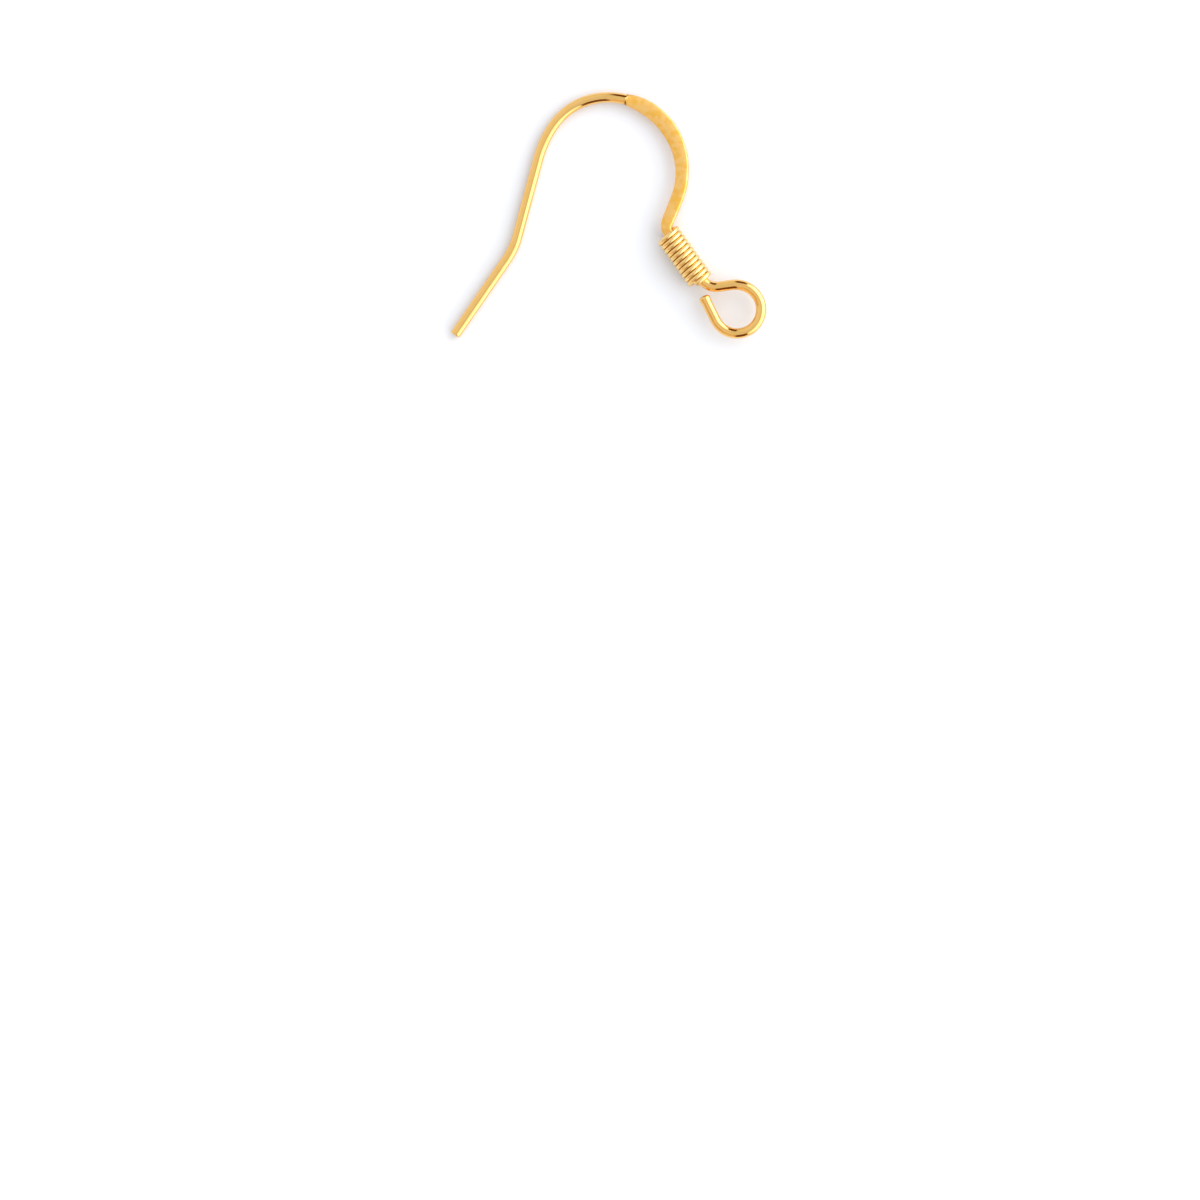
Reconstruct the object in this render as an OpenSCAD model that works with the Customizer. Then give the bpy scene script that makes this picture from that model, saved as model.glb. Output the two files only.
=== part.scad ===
// Fish-hook ear wire with a wound coil and an open loop, lying flat.
// +X runs from the tail's tip to the loop, +Y to the top of the arch, +Z up from the surface it lies on.
// The hook is one round wire, bent in a plane: straight lengths and bends follow one another from the
// tail's tip to the cut end of the loop, and a bend to the left is positive.

/* [Wire] */
// Thickness of the hook's wire
wire_d = 0.7; // [0.5:0.05:0.9]

/* [Tail and shank] */
// Direction of the tail, turned up from +X
tail_heading = 55.5; // [50:0.5:60]
// Length of the straight tail
tail_l = 6.1; // [4:0.1:8]
// Radius of the kick between the tail and the shank
kick_r = 5.4; // [3:0.1:8]
// Angle of the kick
kick_a = 19.5; // [10:0.5:25]
// Straight length of the shank
shank_l = 5.3; // [4:0.1:7]

/* [Arch] */
// Radius of the bend that leans the shank into the arch
rise_r = 7.4; // [5:0.1:10]
// Angle of that bend
rise_a = 18; // [14:0.5:22]
// Radius of the arch's crown
crown_r = 4.4; // [3.8:0.1:5]
// Angle of the crown
crown_a = 54; // [46:0.5:60]
// Radius of the arch's fall, down to the coil
fall_r = 4.98; // [4.4:0.02:5.6]
// Angle of the fall
fall_a = 115; // [108:0.5:120]
// Straight length from the fall down to the S-bend
drop_l = 1.65; // [1:0.05:2.6]

/* [Pressed flat] */
// Round wire left between the crown and the pressed stretch
flat_after = 1.45; // [0.8:0.05:2]
// Widest width of the pressed stretch
flat_w = 1.07; // [0.9:0.01:1.2]
// Thickness where it is widest
flat_t = 0.4; // [0.3:0.01:0.5]

/* [Coil] */
// Thickness of the coil's wire
coil_wire_d = 0.32; // [0.24:0.01:0.36]
// Play all round between the hook's wire and the inside of the coil
coil_play = 0.22; // [0.18:0.01:0.28]
// Turns of the coil
coil_turns = 11.55; // [9:0.05:14]
// Clear gap between two turns
coil_gap = 0.012; // [0.01:0.002:0.03]
// How far the first turn has sprung away from the second
coil_spring = 0.14; // [0:0.02:0.2]
// How far the coil's last turn reaches over the start of the neck
coil_over = 0.08; // [0:0.01:0.16]
// Where the coil's wire starts, turned about its axis from the outer side of the S-bend
coil_start_a = -75; // [-120:5:-30]
// How far the coil sits off the core, towards the inside of the hook
coil_side = 0.1; // [0:0.01:0.12]
// Clearance between the core and the coil that it rests in
core_clear = 0.06; // [0.03:0.01:0.08]

/* [S-bend and loop] */
// Radius of the S-bend, between the straight drop and the core
s_bend_r = 0.8; // [0.7:0.05:1.1]
// Angle of the S-bend
s_bend_a = 57.5; // [52:0.5:62]
// Radius of the neck, where the wire leaves the coil
neck_r = 1.25; // [1:0.05:1.5]
// Angle of the neck
neck_a = 62.5; // [56:0.5:68]
// Straight length from the neck to the loop
lead_l = 0.88; // [0.6:0.02:1.2]
// Radius of the loop's shoulder
shoulder_r = 1.72; // [1.4:0.02:2]
// Angle of the shoulder
shoulder_a = 62; // [56:0.5:68]
// Radius of the round side of the loop
loop_r = 1.61; // [1.5:0.01:2]
// Angle of the round side
loop_a = 189.5; // [180:0.5:194]
// Straight length from there to the loop's cut end
loop_end_l = 1.8; // [1.2:0.05:2]

/* [Hidden] */
wire_r = wire_d / 2;
coil_pitch = coil_wire_d + coil_gap;
coil_l = coil_turns * coil_pitch;
coil_r = wire_r + coil_play + coil_wire_d / 2;
coil_outer_r = coil_r + coil_wire_d / 2;
// sides of the hook's wire and of the coil's, and most turn between two rings of either
wire_sides = 20;
coil_sides = 8;
bend_step = 5;
coil_step = 18;
// most length between two rings of a straight that is pressed
flat_step = 0.45;
// the bent wire starts this far inside the round tail, this much thinner
seat = 0.04;
seat_share = 0.98;
// the coil springs back to its pitch over this turn
spring_turn = 150;

// Each length of the wire, in order: [straight length or radius of the bend, angle of the bend, name]
path = [
    [tail_l, 0, "tail"],
    [kick_r, kick_a, "kick"],
    [shank_l, 0, "shank"],
    [rise_r, -rise_a, "rise"],
    [crown_r, -crown_a, "crown"],
    [fall_r, -fall_a, "fall"],
    [drop_l, 0, "drop"],
    [s_bend_r, s_bend_a, "s_bend"],
    [coil_l - coil_over, 0, "core"],
    [neck_r, neck_a, "neck"],
    [lead_l, 0, "lead"],
    [shoulder_r, -shoulder_a, "shoulder"],
    [loop_r, -loop_a, "loop"],
    [loop_end_l, 0, "loop_end"]
];
// places in path of the lengths that the rest is set out from
function place(name) = search([name], path, 1, 2)[0];
rise = place("rise");
fall = place("fall");
core = place("core");
last = place("loop_end");

// The pressed stretch: [share of its length, share of its full width, share of its full flatness]
pressed = [
    [0, 0, 0],
    [0.012, 0.25, 0.55],
    [0.05, 0.55, 0.8],
    [0.12, 0.85, 0.95],
    [0.2, 1, 1],
    [0.34, 1, 1],
    [0.5, 0.75, 0.85],
    [0.62, 0.52, 0.7],
    [0.88, 0.48, 0.65],
    [0.95, 0.35, 0.45],
    [1, 0, 0]
];

// Station [x, y, heading] reached from station s along a length p, or along its first share k
function ahead(s, p, k = 1) =
    let (turn = p[1] * k, side = sign(p[1]))
    p[1] == 0
    ? [s.x + p[0] * k * cos(s.z), s.y + p[0] * k * sin(s.z), s.z]
    : [
        s.x + side * p[0] * (sin(s.z + turn) - sin(s.z)),
        s.y - side * p[0] * (cos(s.z + turn) - cos(s.z)),
        s.z + turn
    ];

// Station where length i of the path starts
function station(i) = i == 0 ? [0, 0, tail_heading] : ahead(station(i - 1), path[i - 1]);

// Length of wire in one length of the path, and in all those before length i
function wire_in(p) = p[1] == 0 ? p[0] : p[0] * abs(p[1]) * PI / 180;
function wire_before(i) = i == 0 ? 0 : wire_before(i - 1) + wire_in(path[i - 1]);

// Points of the wire's centre line along lengths a to b of the path
function centre_line(a, b) = [
    for (i = [a:b], k = [0:0.05:1])
        let (s = ahead(station(i), path[i], k))
        [s.x, s.y]
];

// The wire touches the surface at its tail's tip and at the outside of the arch, and is lifted at the
// coil, in which its core rests. So its plane leans about the line through those two points.
rest_heading = max([for (p = centre_line(rise, fall)) atan2(p.y, p.x)]);
core_start = station(core);
core_drop = sqrt(pow(coil_play - core_clear, 2) - pow(coil_side, 2));
core_z = coil_outer_r - core_drop;
core_reach = core_start.x * sin(rest_heading) - core_start.y * cos(rest_heading);
lean = asin((core_z - wire_r) / core_reach);

// A point of the wire's plane, leaned about the line it rests on and raised to lie on the surface
function leaned(p) =
    let (
        along = p.x * cos(rest_heading) + p.y * sin(rest_heading),
        off = p.x * sin(rest_heading) - p.y * cos(rest_heading)
    )
    [
        along * cos(rest_heading) + off * cos(lean) * sin(rest_heading),
        along * sin(rest_heading) - off * cos(lean) * cos(rest_heading),
        wire_r + off * sin(lean)
    ];

// The origin is under the middle of the whole ear wire
reach = [for (p = centre_line(0, last)) leaned(p)];
middle_x = (max([for (p = reach) p.x]) + min([for (p = reach) p.x])) / 2;
middle_y = (max([for (p = reach) p.y]) + min([for (p = reach) p.y])) / 2;

// The coil lies flat on the surface, round the core
coil_heading = core_start.z;
coil_from = leaned(core_start);
coil_out = [-sin(coil_heading), cos(coil_heading), 0];
coil_along = [cos(coil_heading), sin(coil_heading), 0];
coil_foot = [coil_from.x, coil_from.y, coil_outer_r] - coil_side * coil_out;

// The pressed stretch runs from the round start of the fall to the coil's first turn
flat_from = wire_before(fall) + flat_after;
flat_l = wire_before(core) - coil_spring - flat_from;
round_share = flat_after / wire_in(path[fall]);
crease_share = round_share + pressed[1][0] * flat_l / wire_in(path[fall]);

// Shares of length i at which the wire has a ring: its far end, the steps on the way, and the crease
function steps(i) =
    path[i][1] != 0 ? ceil(abs(path[i][1]) / bend_step)
    : i > fall && i < core ? ceil(path[i][0] / flat_step)
    : 1;
function ring_shares(i) =
    i == fall
    ? concat(
        [round_share / 2, round_share, crease_share],
        [for (j = [1:steps(i)]) crease_share + (1 - crease_share) * j / steps(i)]
    )
    : [for (j = [1:steps(i)]) j / steps(i)];

// Value in column c of a table at share k, between the rows on both sides of it
function from_table(t, k, c) = lookup(k, [for (row = t) [row[0], row[c]]]);

// Round section with flats of diameter d, drawn out sideways to w where that is more
function section(w, d, sides) = [
    for (i = [0:sides - 1])
        let (a = (i + 0.5) * 360 / sides, corner = d / 2 / cos(180 / sides))
        [(w - d) / 2 * sign(cos(a)) + corner * cos(a), corner * sin(a)]
];

// Section q stood up across the wire at station s, its first axis to the left
function stood(q, s) = [for (v = q) [s.x - v.x * sin(s.z), s.y + v.x * cos(s.z), v.y]];

// Ring of the hook's wire at share k of length i, pressed flat as the table says
function wire_ring(i, k) =
    let (
        share = (wire_before(i) + wire_in(path[i]) * k - flat_from) / flat_l,
        w = wire_d + (flat_w - wire_d) * from_table(pressed, share, 1),
        t = wire_d - (wire_d - flat_t) * from_table(pressed, share, 2)
    )
    stood(section(w, t, wire_sides), ahead(station(i), path[i], k));

// Solid through rings of equally many points, closed at both ends
module skin(rings) {
    n = len(rings[0]);
    m = len(rings);
    polyhedron(
        points = [for (r = rings) each r],
        faces = concat(
            [[for (i = [0:n - 1]) i]],
            [
                for (j = [0:m - 2], i = [0:n - 1])
                    [j * n + i, (j + 1) * n + i, (j + 1) * n + (i + 1) % n, j * n + (i + 1) % n]
            ],
            [[for (i = [0:n - 1]) m * n - 1 - i]]
        )
    );
}

// The bent wire, leaned as it rests: the round tail, and all that is bent after it
module ear_hook() {
    seat_d = wire_d * seat_share;
    inside_tail = stood(section(seat_d, seat_d, wire_sides), ahead(station(0), path[0], 1 - seat / tail_l));
    color([0.86, 0.66, 0.3])
        translate([-middle_x, -middle_y, wire_r])
            rotate(a = -lean, v = [cos(rest_heading), sin(rest_heading), 0]) {
                rotate([0, 90, tail_heading]) cylinder(h = tail_l, d = wire_d, $fn = 48);
                skin(concat([inside_tail], [for (i = [1:last], k = ring_shares(i)) wire_ring(i, k)]));
            }
}

// The wound wire, right-handed, its first turn sprung a little towards the arch
module coil() {
    first = coil_start_a;
    turned = coil_turns * 360;
    n = ceil(turned / coil_step);
    rings = [
        for (j = [0:n])
            let (
                a = first + turned * j / n,
                out = cos(a) * coil_out + [0, 0, sin(a)],
                sprung = pow(max(1 - (a - first) / spring_turn, 0), 2),
                d = coil_l * j / n - coil_spring * sprung
            )
            [
                for (v = section(coil_wire_d, coil_wire_d, coil_sides))
                    coil_foot + (coil_r + v.y) * out + (d + v.x) * coil_along
            ]
    ];
    color([0.93, 0.74, 0.36]) translate([-middle_x, -middle_y, 0]) skin(rings);
}

ear_hook();
coil();
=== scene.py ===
import bpy
import numpy as np
from mathutils import Matrix, Vector


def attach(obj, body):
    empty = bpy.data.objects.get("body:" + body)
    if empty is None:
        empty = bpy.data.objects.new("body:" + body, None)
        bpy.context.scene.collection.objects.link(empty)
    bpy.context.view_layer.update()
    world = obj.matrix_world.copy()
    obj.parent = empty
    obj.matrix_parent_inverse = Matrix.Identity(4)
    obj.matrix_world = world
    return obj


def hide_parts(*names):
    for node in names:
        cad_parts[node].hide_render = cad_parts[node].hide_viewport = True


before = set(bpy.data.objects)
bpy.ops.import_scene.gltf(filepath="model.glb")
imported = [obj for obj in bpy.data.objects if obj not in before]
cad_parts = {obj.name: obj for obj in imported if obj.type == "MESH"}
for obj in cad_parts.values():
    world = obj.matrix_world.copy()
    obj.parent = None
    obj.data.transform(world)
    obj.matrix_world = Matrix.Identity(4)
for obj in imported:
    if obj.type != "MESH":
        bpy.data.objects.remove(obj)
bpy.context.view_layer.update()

# Gold-coloured ear wire, lying on its side. The frame and the studio are in metres, and the
# dictionaries of the pieces and the plating in millimetres and degrees.
mm = 0.001
rad = np.pi / 180


# Small helpers that every piece uses

# A tube from its rings, an array of (ring, point, xyz) in mm, with a flat lid over each open end.
# uv holds (ring, point, 2) in mm, and masks a value from 0 to 1 for every point by its name.
def gridMesh(name, rings, uv, masks):
    count, sides, _ = rings.shape
    tube = rings.reshape(-1, 3)
    lids = np.stack([rings[0].mean(axis=0), rings[-1].mean(axis=0)])
    i = np.arange(count - 1)[:, None]
    j = np.arange(sides)[None, :]
    a = i * sides + j
    b = i * sides + (j + 1) % sides
    quads = np.stack([a, a + sides, b + sides, b], axis=-1).reshape(-1, 4)
    j = np.arange(sides)
    firstLid = len(tube)
    startLid = np.stack([np.full(sides, firstLid), j, (j + 1) % sides], axis=-1)
    endRing = (count - 1) * sides
    endLid = np.stack([np.full(sides, firstLid + 1), endRing + (j + 1) % sides, endRing + j], axis=-1)

    points = np.concatenate([tube, lids]) * mm
    corners = np.concatenate([quads.ravel(), startLid.ravel(), endLid.ravel()])
    starts = np.concatenate([
        np.arange(len(quads)) * 4,
        len(quads) * 4 + np.arange(2 * sides) * 3,
    ])
    mesh = bpy.data.meshes.new(name)
    mesh.vertices.add(len(points))
    mesh.vertices.foreach_set("co", points.astype(np.float32).ravel())
    mesh.loops.add(len(corners))
    mesh.loops.foreach_set("vertex_index", corners.astype(np.int32))
    mesh.polygons.add(len(starts))
    mesh.polygons.foreach_set("loop_start", starts.astype(np.int32))
    mesh.polygons.foreach_set("use_smooth", np.ones(len(starts), dtype=bool))
    mesh.update(calc_edges=True)

    # the seam is one step past the last column, so that the pattern doesn't run backwards there
    seam = uv[:, -1:] + (uv[:, -1:] - uv[:, -2:-1])
    around = np.concatenate([uv, seam], axis=1)
    wide = sides + 1
    ua = i * wide + np.arange(sides)[None, :]
    uvCorner = np.stack([ua, ua + wide, ua + wide + 1, ua + 1], axis=-1).reshape(-1)
    flatUv = around.reshape(-1, 2)[uvCorner]
    lidUv = np.zeros((6 * sides, 2)) + around.reshape(-1, 2)[0]
    layer = mesh.uv_layers.new(name="wireUv")
    layer.data.foreach_set("uv", np.concatenate([flatUv, lidUv]).astype(np.float32).ravel())
    for maskName, mask in masks.items():
        attribute = mesh.attributes.new(maskName, "FLOAT", "POINT")
        grid = np.broadcast_to(mask, (count, sides))
        values = np.concatenate([grid.ravel(), [grid[0].mean(), grid[-1].mean()]])
        attribute.data.foreach_set("value", values.astype(np.float32))
    mesh.validate()
    piece = bpy.data.objects.new(name, mesh)
    bpy.context.collection.objects.link(piece)
    return piece


# 0 below low, 1 above high, and a smooth S between: three t squared less two t cubed
def ease(x, low, high):
    t = np.clip((x - low) / (high - low), 0, 1)
    return t * t * (3 - 2 * t)


# The wound wire, and then the bent wire that it sits on, whose core takes its length from the coil
coilWire = {
    "thickness": 0.32,
    "play": 0.22,                 # all round between the core and the coil
    "turns": 11.55,
    "gap": 0.012,                 # between turns
    "sprung": 0.14,               # how far the first turn stands off
    "sprungTurn": 150,            # degrees over which it comes back
    "over": 0.08,                 # how far its last turn reaches over the neck
    "startAngle": -75,            # degrees round the core
    "side": 0.10,                 # from the core's axis sideways to the coil's
    "clearance": 0.06,            # between core and coil where they are nearest
    "cutBevel": 0.05,             # rounding of its two cut ends
    "endRings": 5,                # rings in each rounding
    "ringGap": 0.05,              # from ring to ring along the wire
    "sides": 24,
}
coilWire["length"] = coilWire["turns"] * (coilWire["thickness"] + coilWire["gap"])
# Straights and bends follow one another from the tail's tip, left bends positive
hookWire = {
    "thickness": 0.70,
    "tailHeading": 55.5,          # degrees, up from +X
    "path": [                     # name, straight length or bend radius, bend angle
        ("tail", 6.1, 0),
        ("kick", 5.4, 19.5),
        ("shank", 5.3, 0),
        ("rise", 7.4, -18),
        ("crown", 4.4, -54),
        ("fall", 4.98, -115),
        ("drop", 1.65, 0),
        ("sBend", 0.8, 57.5),
        ("core", coilWire["length"] - coilWire["over"], 0),
        ("neck", 1.25, 62.5),
        ("lead", 0.88, 0),
        ("shoulder", 1.72, -62),
        ("loop", 1.61, -189.5),
        ("loopEnd", 1.8, 0),
    ],
    "flatAfter": 1.45,            # round wire between the crown and the crease
    "flatWidth": 1.07,
    "flatThickness": 0.40,
    # share of the pressed stretch, share of the full width, share of the full flatness
    "pressed": [
        (0.0, 0.0, 0.0), (0.012, 0.25, 0.55), (0.05, 0.55, 0.80), (0.12, 0.85, 0.95), (0.20, 1.0, 1.0),
        (0.34, 1.0, 1.0), (0.50, 0.75, 0.85), (0.62, 0.52, 0.70), (0.88, 0.48, 0.65), (0.95, 0.35, 0.60),
        (1.0, 0.08, 0.50), (1.08, 0.0, 0.0),
    ],
    "rimSquared": 0.60,           # how much narrower than a half round the flat's two rims are
    "creaseShadeWidth": 0.06,          # of the painted shade line at the start of the flat
    "creaseShadeBefore": 0.065,        # from its middle to the foot of the slope
    "creaseShadeOnOuter": 0.5,         # how dark the painted shade is on the outside of the bend
    "creaseShadeInside": (-0.3, 0.5),  # shares of the half width where the painted shade begins and where it is full
    "creaseRings": 18,            # closer rings round the crease
    "creaseReach": (0.04, 0.12),  # how far these rings reach before the flat and past the crease
    "satinFace": (0.3, 0.9),      # shares of the half thickness where satin begins and is full
    "tailBevel": 0.11,            # rounding of the tail's cut end
    "loopBevel": 0.20,            # rounding of the loop's cut end
    "loopBurr": 0.03,             # how far the loop's cut end is pressed out all round
    "burrLength": 0.30,           # it grows over this length and keeps its size for as long
    "endRings": 8,                # rings in each rounding
    "ringGap": 0.05,              # from ring to ring along the wire
    "lineSteps": 4000,            # steps along the middle line, for the lean and the origin
    "sides": 48,
}


# Stations (x, y, heading) at the start of every length of the path, and the distances to them
def walk(path, tailHeading):
    x, y, heading, gone = 0.0, 0.0, tailHeading * rad, 0.0
    stations, distances = [(x, y, heading)], [0.0]
    for _, size, turn in path:
        turn = turn * rad
        if turn == 0:
            x, y, gone = x + size * np.cos(heading), y + size * np.sin(heading), gone + size
        else:
            side = np.sign(turn)
            x += side * size * (np.sin(heading + turn) - np.sin(heading))
            y -= side * size * (np.cos(heading + turn) - np.cos(heading))
            heading, gone = heading + turn, gone + size * abs(turn)
        stations.append((x, y, heading))
        distances.append(gone)
    return np.array(stations), np.array(distances)


# Centre points and headings at distances s: start plus a straight run, or plus a turn about a centre
def alongPath(path, stations, distances, s):
    i = np.clip(np.searchsorted(distances, s, side="right") - 1, 0, len(path) - 1)
    size = np.array([p[1] for p in path])[i]
    side = np.sign(np.array([p[2] for p in path]))[i]
    x, y, heading = stations[i].T
    run = s - distances[i]
    turned = heading + side * run / np.where(side == 0, 1, size)
    bentX = x + side * size * (np.sin(turned) - np.sin(heading))
    bentY = y - side * size * (np.cos(turned) - np.cos(heading))
    px = np.where(side == 0, x + run * np.cos(heading), bentX)
    py = np.where(side == 0, y + run * np.sin(heading), bentY)
    return px, py, turned


names = [p[0] for p in hookWire["path"]]
stations, distances = walk(hookWire["path"], hookWire["tailHeading"])
wireLength = distances[-1]
startOf = {name: distances[k] for k, name in enumerate(names)}
coreStart = stations[names.index("core")]

# The hook's plane leans on the tail's tip and the outside of the arch, because the coil lifts its
# other side
wireRadius = hookWire["thickness"] / 2
coilRadius = wireRadius + coilWire["play"] + coilWire["thickness"] / 2
coilOuter = coilRadius + coilWire["thickness"] / 2
fine = np.linspace(0, wireLength, hookWire["lineSteps"])
lineX, lineY, _ = alongPath(hookWire["path"], stations, distances, fine)
arch = (fine > startOf["rise"]) & (fine < startOf["drop"])
restHeading = np.arctan2(lineY[arch], lineX[arch]).max()
coreDrop = np.sqrt((coilWire["play"] - coilWire["clearance"]) ** 2 - coilWire["side"] ** 2)
coreReach = coreStart[0] * np.sin(restHeading) - coreStart[1] * np.cos(restHeading)
lean = np.arcsin((coilOuter - coreDrop - wireRadius) / coreReach)


# Points of the hook's plane turned by the lean about the line it rests on, and raised by its radius
def leaned(x, y, z):
    along = x * np.cos(restHeading) + y * np.sin(restHeading)
    off = x * np.sin(restHeading) - y * np.cos(restHeading)
    flatOff = off * np.cos(lean) - z * np.sin(lean)
    up = off * np.sin(lean) + z * np.cos(lean) + wireRadius
    return np.stack([
        along * np.cos(restHeading) + flatOff * np.sin(restHeading),
        along * np.sin(restHeading) - flatOff * np.cos(restHeading),
        up,
    ], axis=-1)


# The frame's origin is under the middle of the whole line
middleLine = leaned(lineX, lineY, 0 * lineX)
middle = (middleLine.max(axis=0) + middleLine.min(axis=0)) / 2 * np.array([1, 1, 0])


# The wire as a surface of (distance along, angle around). Its section is a round of the wire's
# thickness, which the pressed stretch draws out sideways and flattens: half-width less the rim to each
# side, plus a half ellipse as wide as the rim and as high as the thickness.
def makeHook():
    w = hookWire
    flatFrom = startOf["fall"] + w["flatAfter"]
    flatLength = startOf["core"] - coilWire["sprung"] - flatFrom
    crease = flatFrom + w["pressed"][1][0] * flatLength
    body = np.arange(w["tailBevel"], wireLength - w["loopBevel"], w["ringGap"])
    bevel = 1 - np.cos(np.linspace(0, 90, w["endRings"]) * rad)
    nearCrease = (flatFrom - w["creaseReach"][0], crease + w["creaseReach"][1])
    # rounded, so that rings on the same spot become one
    s = np.unique(np.round(np.concatenate([
        body, w["tailBevel"] * bevel, wireLength - w["loopBevel"] * bevel,
        np.linspace(*nearCrease, w["creaseRings"]),
    ]), 6))
    share = (s - flatFrom) / flatLength
    rows = np.array(w["pressed"])
    wide = w["thickness"] + (w["flatWidth"] - w["thickness"]) * np.interp(share, rows[:, 0], rows[:, 1])
    flatness = np.interp(share, rows[:, 0], rows[:, 2])
    thick = w["thickness"] - (w["thickness"] - w["flatThickness"]) * flatness
    # both cut ends are rounded off by a quarter circle
    rounding = np.where(s < wireLength / 2, w["tailBevel"], w["loopBevel"])
    inside = np.clip(1 - np.minimum(s, wireLength - s) / rounding, 0, 1)
    burr = w["loopBurr"] * ease(s, wireLength - 2 * w["burrLength"], wireLength - w["burrLength"])
    shrink = rounding * (1 - np.sqrt(1 - inside ** 2)) - burr
    wide = (wide / 2 - shrink) * 2
    thick = (thick / 2 - shrink) * 2

    x, y, heading = alongPath(w["path"], stations, distances, s)
    # half a step round, so that no point falls where the two rims meet
    angle = (np.arange(w["sides"]) + 0.5) * 2 * np.pi / w["sides"]
    rim = thick / 2 * (1 - w["rimSquared"] * flatness)
    across = (wide / 2 - rim)[:, None] * np.sign(np.cos(angle)) + rim[:, None] * np.cos(angle)
    up = (thick / 2)[:, None] * np.sin(angle)
    px = x[:, None] - across * np.sin(heading)[:, None]
    py = y[:, None] + across * np.cos(heading)[:, None]
    rings = leaned(px, py, up) - middle
    uv = np.stack(np.broadcast_arrays(s[:, None], angle * wireRadius), axis=-1)
    # the die leaves satin on the flat faces alone, and the rims stay polished
    onFace = ease(np.abs(np.sin(angle)), *w["satinFace"])
    fromCrease = ease(share, rows[0, 0], rows[1, 0])
    toCoil = 1 - ease(share, rows[-2, 0], rows[-1, 0])
    pressed = (fromCrease * toCoil)[:, None] * onFace
    # painted shade: a dark line across the wire at the step that the die's edge leaves, deepest on the
    # inside of the bend
    toInside = -across / (wide / 2)[:, None]
    creaseShadeLine = np.exp(-((s - crease + w["creaseShadeBefore"]) / w["creaseShadeWidth"]) ** 2)[:, None]
    shadeOnOuter = w["creaseShadeOnOuter"]
    creaseShadeSide = shadeOnOuter + (1 - shadeOnOuter) * ease(toInside, *w["creaseShadeInside"])
    # the mask named crease carries this painted shade of the crease
    return gridMesh("hookWire", rings, uv, {"pressed": pressed, "crease": creaseShadeLine * creaseShadeSide})


# The wound wire as a surface of (turn about the axis, angle around the wire): a right-handed helix
# of the coil's radius, moved along by a pitch every turn, less the spring of its first turn
def makeCoil():
    c = coilWire
    total = c["turns"] * 2 * np.pi * coilRadius
    bevel = c["cutBevel"] * (1 - np.cos(np.linspace(0, 90, c["endRings"]) * rad))
    body = np.arange(c["cutBevel"], total - c["cutBevel"], c["ringGap"])
    s = np.unique(np.round(np.concatenate([body, bevel, total - bevel]), 6))
    turned = s / total * c["turns"] * 360
    sprung = np.clip(1 - turned / c["sprungTurn"], 0, None) ** 2
    along = c["length"] * s / total - c["sprung"] * sprung
    inside = np.clip(1 - np.minimum(s, total - s) / c["cutBevel"], 0, 1)
    r = c["thickness"] / 2 - c["cutBevel"] * (1 - np.sqrt(1 - inside ** 2))

    heading = coreStart[2]
    axis = np.array([np.cos(heading), np.sin(heading), 0])
    sideways = np.array([-np.sin(heading), np.cos(heading), 0])
    foot = leaned(coreStart[0], coreStart[1], 0) - middle
    foot[2] = coilOuter
    foot = foot - c["side"] * sideways
    a = (c["startAngle"] + turned) * rad
    out = np.cos(a)[:, None] * sideways + np.sin(a)[:, None] * np.array([0, 0, 1])
    b = (np.arange(c["sides"]) + 0.5) * 2 * np.pi / c["sides"]
    outward = coilRadius + r[:, None] * np.sin(b)
    forward = along[:, None] + r[:, None] * np.cos(b)
    rings = foot + outward[..., None] * out[:, None, :] + forward[..., None] * axis
    uv = np.stack(np.broadcast_arrays(s[:, None], b * c["thickness"] / 2), axis=-1)
    return gridMesh("coilWinding", rings, uv, {})


hookPiece = makeHook()
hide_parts("ear_hook")
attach(hookPiece, "hook")
print("hook wire made", len(hookPiece.data.polygons), "faces")

coilPiece = makeCoil()
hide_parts("coil")
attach(coilPiece, "wound_coil")
print("coil made", len(coilPiece.data.polygons), "faces")


# Gold-coloured plating, polished on the round wire and satin on the pressed faces
gold = {
    "hook": {"colour": (0.93, 0.565, 0.18), "patches": (0.89, 0.49, 0.085), "roughness": 0.07},
    "coil": {"colour": (0.92, 0.65, 0.26), "patches": (0.90, 0.57, 0.18), "roughness": 0.25},
    # dark colour of the painted shade in the crease
    "creaseShadeColour": (0.10, 0.035, 0.01),
    "flatRoughness": 0.36,
    "unevenRoughness": 0.08,
    "mottleSize": 0.44,
    "mottleDetail": 2.5,
    "mottleRange": (0.38, 0.66),  # noise where the patches begin and where they are full
    "mottleOnRound": 0.22,        # how strongly the round wire shows the mottling of the flat
    "grainSize": 0.05,
    "grainDetail": 4.0,
    "drawLines": 0.02,            # between the marks that drawing leaves along the wire
    "drawAlong": 0.6,             # steps of their noise in a millimetre along the wire
    "drawDetail": 2.0,
    "bumpStrength": 0.15,
    "bumpDepth": 0.005,
}


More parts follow.
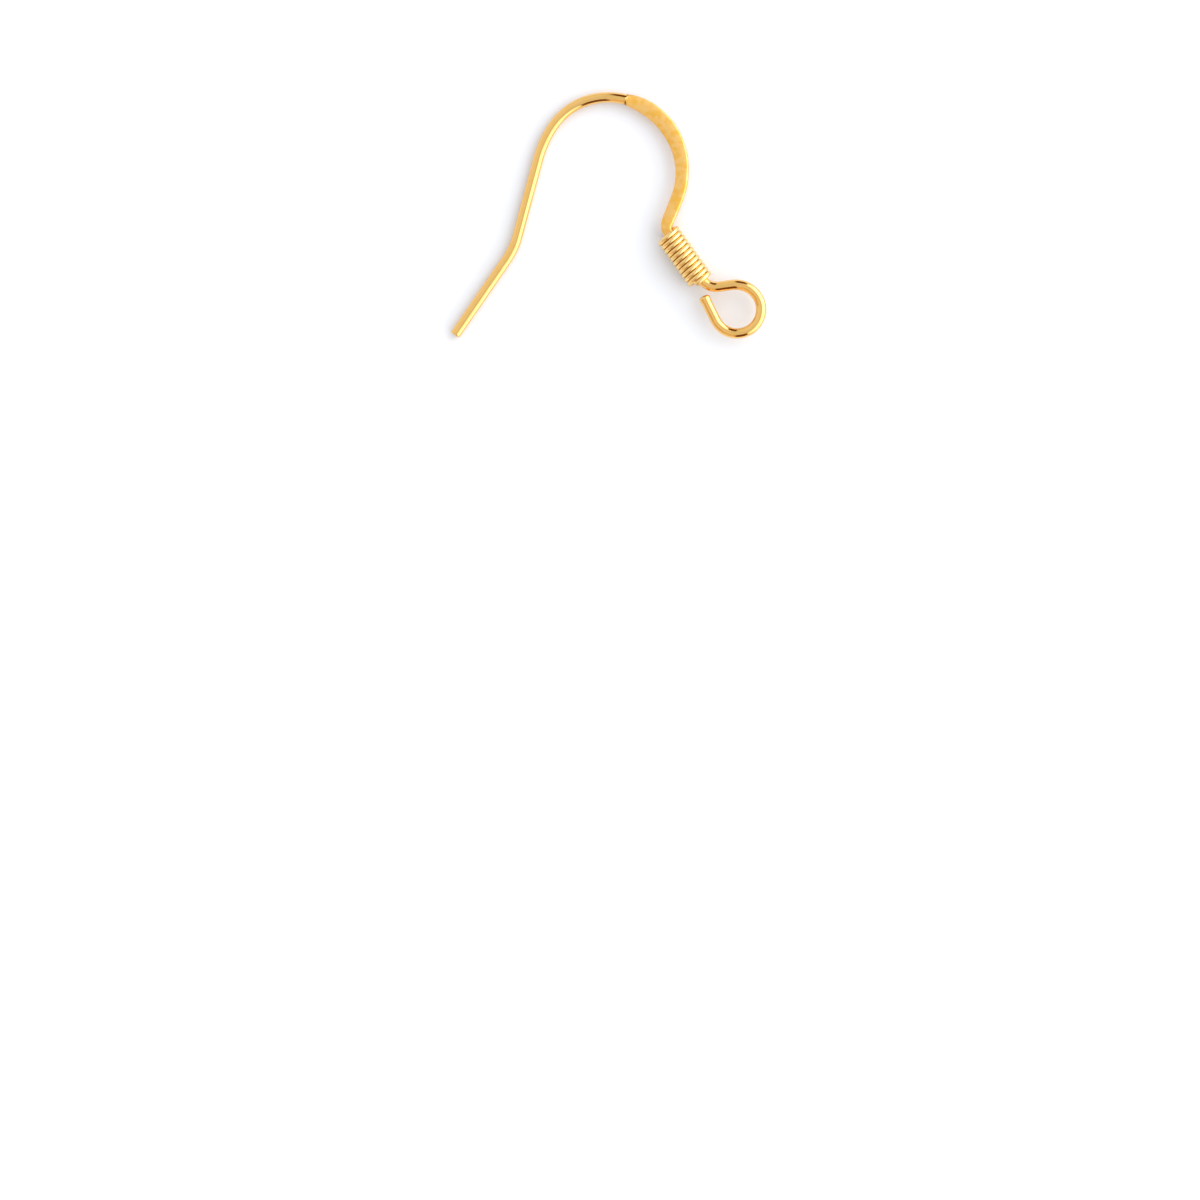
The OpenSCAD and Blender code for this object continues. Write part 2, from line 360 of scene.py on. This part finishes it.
def goldPlating(name, finish):
    material = bpy.data.materials.new(name)
    material.use_nodes = True
    nodes, links = material.node_tree.nodes, material.node_tree.links
    shader = nodes["Principled BSDF"]
    shader.inputs["Metallic"].default_value = 1.0

    place = nodes.new("ShaderNodeTexCoord")
    pressed = nodes.new("ShaderNodeAttribute")
    pressed.attribute_name = "pressed"

    # mottled tone in patches of about half a millimetre
    mottle = nodes.new("ShaderNodeTexNoise")
    mottle.inputs["Scale"].default_value = 1 / (gold["mottleSize"] * mm)
    mottle.inputs["Detail"].default_value = gold["mottleDetail"]
    links.new(place.outputs["Object"], mottle.inputs["Vector"])
    patches = nodes.new("ShaderNodeMapRange")
    patches.interpolation_type = "SMOOTHSTEP"
    patches.inputs["From Min"].default_value = gold["mottleRange"][0]
    patches.inputs["From Max"].default_value = gold["mottleRange"][1]
    links.new(mottle.outputs["Fac"], patches.inputs["Value"])
    share = nodes.new("ShaderNodeMapRange")
    share.inputs["To Min"].default_value = gold["mottleOnRound"]
    links.new(pressed.outputs["Fac"], share.inputs["Value"])
    warmth = nodes.new("ShaderNodeMath")
    warmth.operation = "MULTIPLY"
    links.new(patches.outputs["Result"], warmth.inputs[0])
    links.new(share.outputs["Result"], warmth.inputs[1])
    tone = nodes.new("ShaderNodeMix")
    tone.data_type = "RGBA"
    tone.inputs["A"].default_value = (*finish["colour"], 1)
    tone.inputs["B"].default_value = (*finish["patches"], 1)
    links.new(warmth.outputs["Value"], tone.inputs["Factor"])

    # the painted shade of the crease, a dark line mixed over the plating's colour
    crease = nodes.new("ShaderNodeAttribute")
    crease.attribute_name = "crease"
    creaseShaded = nodes.new("ShaderNodeMix")
    creaseShaded.data_type = "RGBA"
    creaseShaded.inputs["B"].default_value = (*gold["creaseShadeColour"], 1)
    links.new(crease.outputs["Fac"], creaseShaded.inputs["Factor"])
    links.new(tone.outputs["Result"], creaseShaded.inputs["A"])
    links.new(creaseShaded.outputs["Result"], shader.inputs["Base Color"])

    # satin where pressed, polished where round, with a little unevenness
    rough = nodes.new("ShaderNodeMapRange")
    rough.inputs["To Min"].default_value = finish["roughness"]
    rough.inputs["To Max"].default_value = gold["flatRoughness"]
    links.new(pressed.outputs["Fac"], rough.inputs["Value"])
    uneven = nodes.new("ShaderNodeMath")
    uneven.operation = "MULTIPLY_ADD"
    uneven.inputs[1].default_value = gold["unevenRoughness"]
    links.new(mottle.outputs["Fac"], uneven.inputs[0])
    links.new(rough.outputs["Result"], uneven.inputs[2])
    links.new(uneven.outputs["Value"], shader.inputs["Roughness"])

    # marks of drawing along the wire, and a fine grain
    lines = nodes.new("ShaderNodeMapping")
    lines.inputs["Scale"].default_value = (gold["drawAlong"], 1 / gold["drawLines"], 1.0)
    uvPlace = nodes.new("ShaderNodeUVMap")
    uvPlace.uv_map = "wireUv"
    links.new(uvPlace.outputs["UV"], lines.inputs["Vector"])
    drawn = nodes.new("ShaderNodeTexNoise")
    drawn.inputs["Scale"].default_value = 1.0
    drawn.inputs["Detail"].default_value = gold["drawDetail"]
    links.new(lines.outputs["Vector"], drawn.inputs["Vector"])
    grain = nodes.new("ShaderNodeTexNoise")
    grain.inputs["Scale"].default_value = 1 / (gold["grainSize"] * mm)
    grain.inputs["Detail"].default_value = gold["grainDetail"]
    links.new(place.outputs["Object"], grain.inputs["Vector"])
    height = nodes.new("ShaderNodeMix")
    height.data_type = "FLOAT"
    links.new(pressed.outputs["Fac"], height.inputs["Factor"])
    links.new(drawn.outputs["Fac"], height.inputs["A"])
    links.new(grain.outputs["Fac"], height.inputs["B"])
    bump = nodes.new("ShaderNodeBump")
    bump.inputs["Strength"].default_value = gold["bumpStrength"]
    bump.inputs["Distance"].default_value = gold["bumpDepth"] * mm
    links.new(height.outputs["Result"], bump.inputs["Height"])
    links.new(bump.outputs["Normal"], shader.inputs["Normal"])
    return material


hookPiece.data.materials.append(goldPlating("goldHookWire", gold["hook"]))
coilPiece.data.materials.append(goldPlating("goldCoilWire", gold["coil"]))
print("plating made")


# Pale floor, bright soft light from the right, dimmer from the left, and cards that only reflections
# see: two narrow dark ones draw the streaks along the wire where it runs left to right, and a broad one
# dims the coil's lower left side. Places are (metres out, metres up), and turns are degrees from +X
# towards +Y.
studio = {
    "floorColour": (0.820, 0.826, 0.830),
    "floorSize": 4.0,
    "floorRoughness": 0.9,
    "floorSpecular": 0.1,
    "worldColour": (0.80, 0.82, 0.86),
    "panelColour": (1.0, 1.0, 1.05),
    "rightPanel": {"tone": 1.10, "turn": 0, "from": (0.35, 0.70), "to": (1.10, 0.0), "long": 2.4},
    "lowPanel": {"tone": 1.30, "turn": 5, "from": (0.80, 0.45), "to": (0.90, 0.0), "long": 2.0},
    "leftPanel": {"tone": 0.12, "turn": 180, "from": (0.10, 0.70), "to": (1.10, 0.0), "long": 2.4},
    # seen by reflections alone, on the coil's upper right side and along the flat's outer rim
    "coilPanel": {"tone": 1.20, "turn": 32, "from": (0.30, 0.60), "to": (0.75, 0.02), "long": 0.7},
    # lights the floor alone, and not the wire, so that a shadow falls below the wire too
    "floorLight": {"tone": 0.60, "turn": 70, "from": (0.30, 0.70), "to": (1.10, 0.0), "long": 1.8},
    "streakColour": (0.14, 0.045, 0.005),
    "coilCardColour": (0.52, 0.42, 0.31),
    "farCard": {"turn": 79.5, "away": 0.30, "wide": 0.12, "tall": 0.36},
    "nearCard": {"turn": -80.5, "away": 0.30, "wide": 0.15, "tall": 0.40},
    "coilCard": {"turn": -132.0, "away": 0.34, "wide": 0.62, "tall": 0.55},
}
photo = {
    "pixels": 1200,
    "mmPerPixel": 0.067,
    "origin": (607.87, 216.22),   # where the frame's origin falls in the photograph
    "distance": 600.0,            # mm from the wire to the lens
    "wireHeight": 0.5,            # mm, where the photograph's scale holds
    "sensor": 36.0,               # mm
    "clip": (0.01, 10.0),         # metres
}


def makeFloor():
    half = studio["floorSize"] / 2
    mesh = bpy.data.meshes.new("paleFloor")
    corners = [(-half, -half, 0), (half, -half, 0), (half, half, 0), (-half, half, 0)]
    mesh.from_pydata(corners, [], [(0, 1, 2, 3)])
    floor = bpy.data.objects.new("paleFloor", mesh)
    bpy.context.collection.objects.link(floor)
    material = bpy.data.materials.new("paleFloor")
    material.use_nodes = True
    shader = material.node_tree.nodes["Principled BSDF"]
    shader.inputs["Base Color"].default_value = (*studio["floorColour"], 1)
    shader.inputs["Roughness"].default_value = studio["floorRoughness"]
    shader.inputs["Specular IOR Level"].default_value = studio["floorSpecular"]
    mesh.materials.append(material)


# A soft area light that leans from a ridge above the object down to the floor on one side
def makePanel(name, panel):
    out = np.array([np.cos(panel["turn"] * rad), np.sin(panel["turn"] * rad), 0])
    top = out * panel["from"][0] + np.array([0, 0, panel["from"][1]])
    foot = out * panel["to"][0] + np.array([0, 0, panel["to"][1]])
    wide = np.linalg.norm(foot - top)
    light = bpy.data.lights.new(name, "AREA")
    light.color = studio["panelColour"]
    light.shape = "RECTANGLE"
    light.size = panel["long"]
    light.size_y = wide
    # an area light of this power shines with the given tone
    light.energy = panel["tone"] * np.pi * wide * panel["long"]
    holder = bpy.data.objects.new(name, light)
    holder.location = (top + foot) / 2
    # its x axis runs level and its y axis up the slope, so that it shines from its underside
    level = Vector((-out[1], out[0], 0))
    upSlope = Vector((top - foot) / wide)
    holder.rotation_euler = Matrix((level, upSlope, level.cross(upSlope))).transposed().to_euler()
    bpy.context.collection.objects.link(holder)
    return holder


# A card that stands on the floor and that only reflections see
def makeCard(name, card, colour):
    turn = card["turn"] * rad
    foot = np.array([np.cos(turn), np.sin(turn), 0]) * card["away"]
    across = np.array([-np.sin(turn), np.cos(turn), 0]) * card["wide"] / 2
    top = np.array([0, 0, card["tall"]])
    corners = [foot - across, foot + across, foot + across + top, foot - across + top]
    mesh = bpy.data.meshes.new(name)
    mesh.from_pydata([tuple(c) for c in corners], [], [(0, 1, 2, 3)])
    holder = bpy.data.objects.new(name, mesh)
    bpy.context.collection.objects.link(holder)
    material = bpy.data.materials.new(name)
    material.use_nodes = True
    shader = material.node_tree.nodes["Principled BSDF"]
    shader.inputs["Base Color"].default_value = (*colour, 1)
    shader.inputs["Roughness"].default_value = 1.0
    shader.inputs["Specular IOR Level"].default_value = 0.0
    mesh.materials.append(material)
    holder.visible_camera = False
    holder.visible_diffuse = False
    holder.visible_shadow = False


def makeCamera():
    frameWidth = photo["pixels"] * photo["mmPerPixel"]
    x = (photo["pixels"] / 2 - photo["origin"][0]) * photo["mmPerPixel"]
    y = (photo["origin"][1] - photo["pixels"] / 2) * photo["mmPerPixel"]
    data = bpy.data.cameras.new("camera")
    data.sensor_width = photo["sensor"]
    data.lens = data.sensor_width * photo["distance"] / frameWidth
    data.clip_start, data.clip_end = photo["clip"]
    camera = bpy.data.objects.new("camera", data)
    camera.location = Vector((x, y, photo["distance"] + photo["wireHeight"])) * mm
    bpy.context.collection.objects.link(camera)
    bpy.context.scene.camera = camera


makeFloor()
for name in ("rightPanel", "lowPanel", "leftPanel"):
    makePanel(name, studio[name])
makePanel("coilPanel", studio["coilPanel"]).visible_diffuse = False
makePanel("floorLight", studio["floorLight"]).visible_glossy = False
for name in ("farCard", "nearCard"):
    makeCard(name, studio[name], studio["streakColour"])
makeCard("coilCard", studio["coilCard"], studio["coilCardColour"])
makeCamera()
world = bpy.data.worlds.new("studio")
world.use_nodes = True
world.node_tree.nodes["Background"].inputs["Color"].default_value = (*studio["worldColour"], 1)
bpy.context.scene.world = world
bpy.context.scene.view_settings.view_transform = "Standard"
print("studio made")
